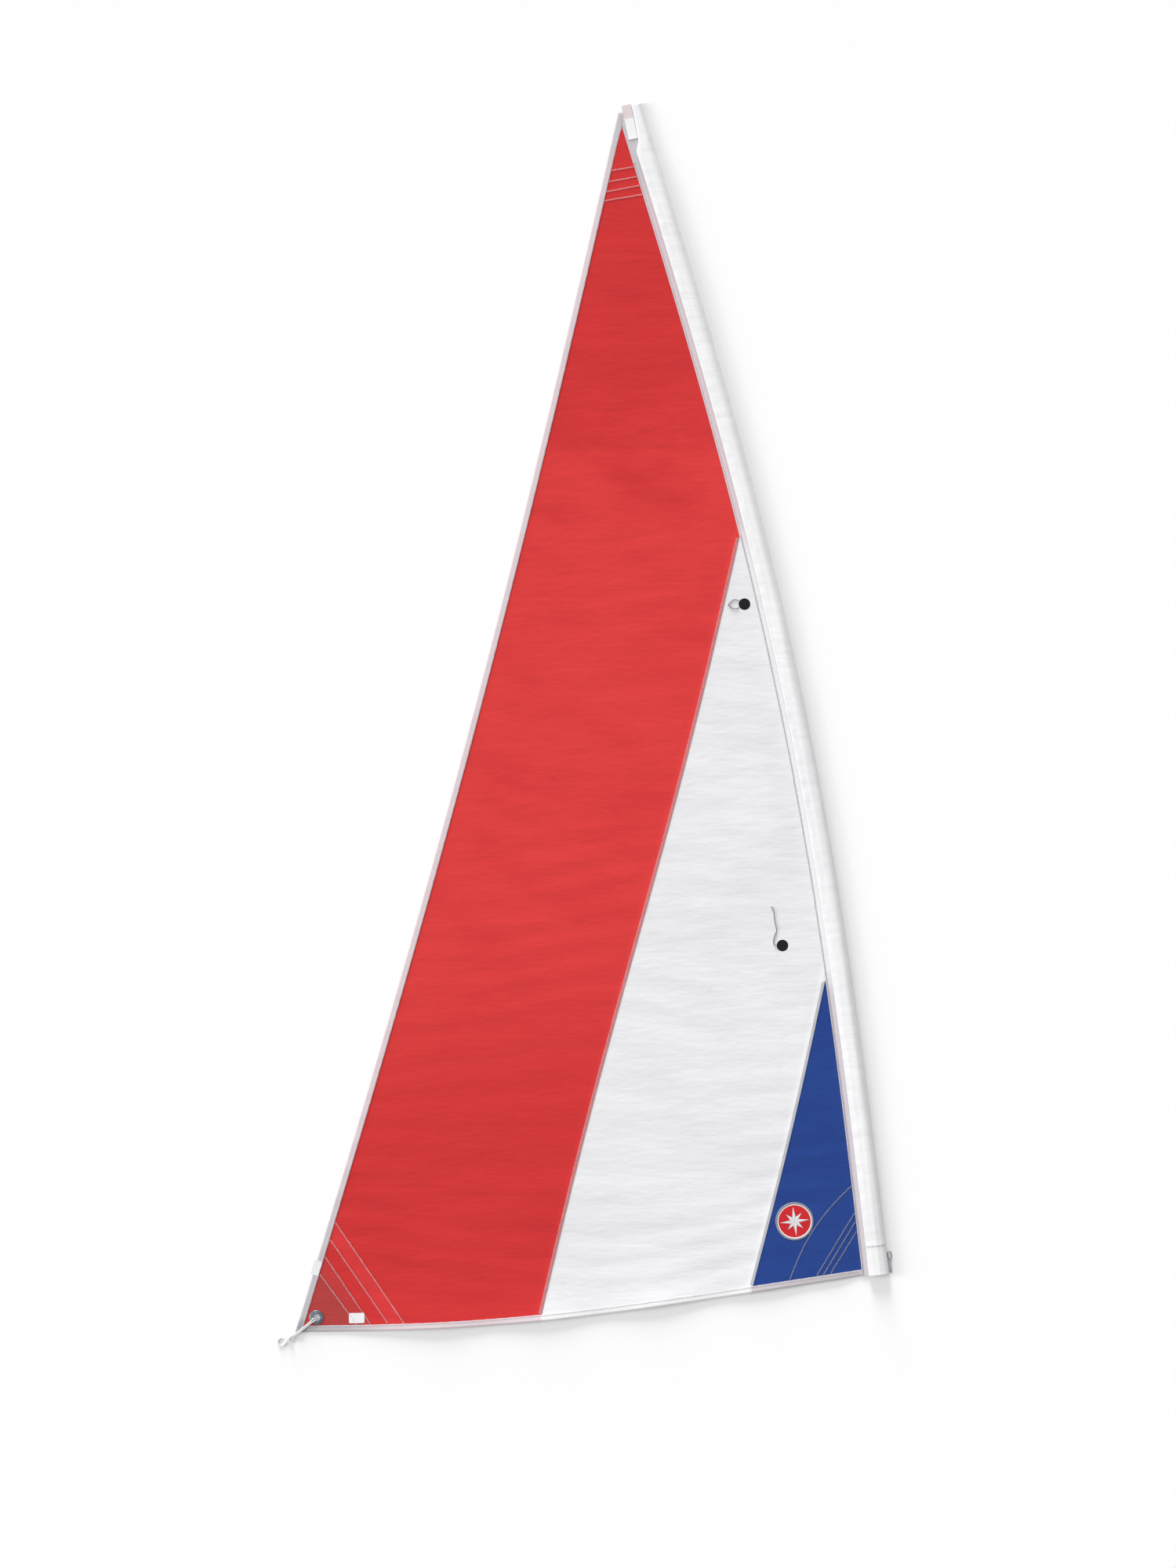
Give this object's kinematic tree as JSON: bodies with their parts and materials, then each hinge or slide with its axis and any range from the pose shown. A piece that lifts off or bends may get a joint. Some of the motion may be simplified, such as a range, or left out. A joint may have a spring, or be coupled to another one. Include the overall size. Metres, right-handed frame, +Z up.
{
  "type": "dinghy sail",
  "caption": "Triangular dinghy mainsail laid flat, in red, white and blue panels, with a mast sleeve along the luff, taped edges, corner patches, a clew eyelet with cord, and tell-tales",
  "frame": {"origin": "middle of the bottom of the box of the laid-out sail, without its free cords, on the surface that it lies on", "axes": "+Y runs up the chord of the luff from the tack to the head, the clew lies towards -X, and +Z is up through the port side of the cloth"},
  "size_m": [2.4204, 4.478, 0.0286],
  "materials": {
    "red_cloth": "woven polyester sailcloth, satin",
    "white_cloth": "woven polyester sailcloth, satin",
    "blue_cloth": "woven polyester sailcloth, satin",
    "grey_tape": "woven tape with zigzag stitching, matt",
    "white_webbing": "woven webbing, matt",
    "black_disc": "ripstop adhesive patch, matt",
    "grey_yarn": "wool yarn, matt",
    "white_cord": "braided cord, matt",
    "eyelet_metal": "pressed metal, slightly worn",
    "white_label": "woven label, blank"
  },
  "bodies": {
    "root": {"red_panel": "red_cloth", "clew_patch_1": "red_cloth", "clew_patch_2": "red_cloth", "clew_patch_3": "red_cloth", "clew_patch_4": "red_cloth", "head_patch_1": "red_cloth", "head_patch_2": "red_cloth", "head_patch_3": "red_cloth", "head_patch_4": "red_cloth", "white_panel": "white_cloth", "luff_sleeve_starboard": "white_cloth", "luff_sleeve_port_1": "white_cloth", "luff_sleeve_port_2": "white_cloth", "luff_sleeve_port_3": "white_cloth", "luff_sleeve_port_4": "white_cloth", "luff_sleeve_port_5": "white_cloth", "luff_sleeve_port_6": "white_cloth", "sleeve_cuff": "white_cloth", "blue_panel": "blue_cloth", "tack_patch_1": "blue_cloth", "tack_patch_2": "blue_cloth", "tack_patch_3": "blue_cloth", "tack_patch_4": "blue_cloth", "leech_tape": "grey_tape", "foot_tape": "grey_tape", "head_cap": "grey_tape", "tack_webbing": "grey_tape", "head_strap": "white_webbing", "sleeve_head_closure": "white_webbing", "telltale_upper_port_disc": "black_disc", "telltale_upper_starboard_disc": "black_disc", "telltale_lower_port_disc": "black_disc", "telltale_lower_starboard_disc": "black_disc", "clew_lashing": "white_cord", "clew_loop": "white_cord", "clew_loop_knot": "white_cord", "clew_loop_tail": "white_cord", "clew_ring": "eyelet_metal", "clew_liner": "eyelet_metal", "compass_badge": "white_label", "leech_label": "white_label", "measurement_label": "white_label"},
    "telltale_upper": {"telltale_upper_yarn": "grey_yarn"},
    "telltale_lower": {"telltale_lower_yarn": "grey_yarn"},
    "tack_ring": {"tack_ring": "eyelet_metal"}
  },
  "joints": [
    {"name": "telltale_upper_swing", "type": "hinge", "parent": "root", "child": "telltale_upper", "pos_m": [1.0171, 0.33259, 0.0036], "axis": [0, 0, 1], "range_deg": [-150, 150]},
    {"name": "telltale_lower_swing", "type": "hinge", "parent": "root", "child": "telltale_lower", "pos_m": [0.88819, -0.95691, 0.0036], "axis": [0, 0, 1], "range_deg": [-150, 150]},
    {"name": "tack_ring_tilt", "type": "hinge", "parent": "root", "child": "tack_ring", "pos_m": [1.05853, -2.17989, 0.0027], "axis": [0.9959, -0.091, 0], "range_deg": [0, 135]}
  ]
}
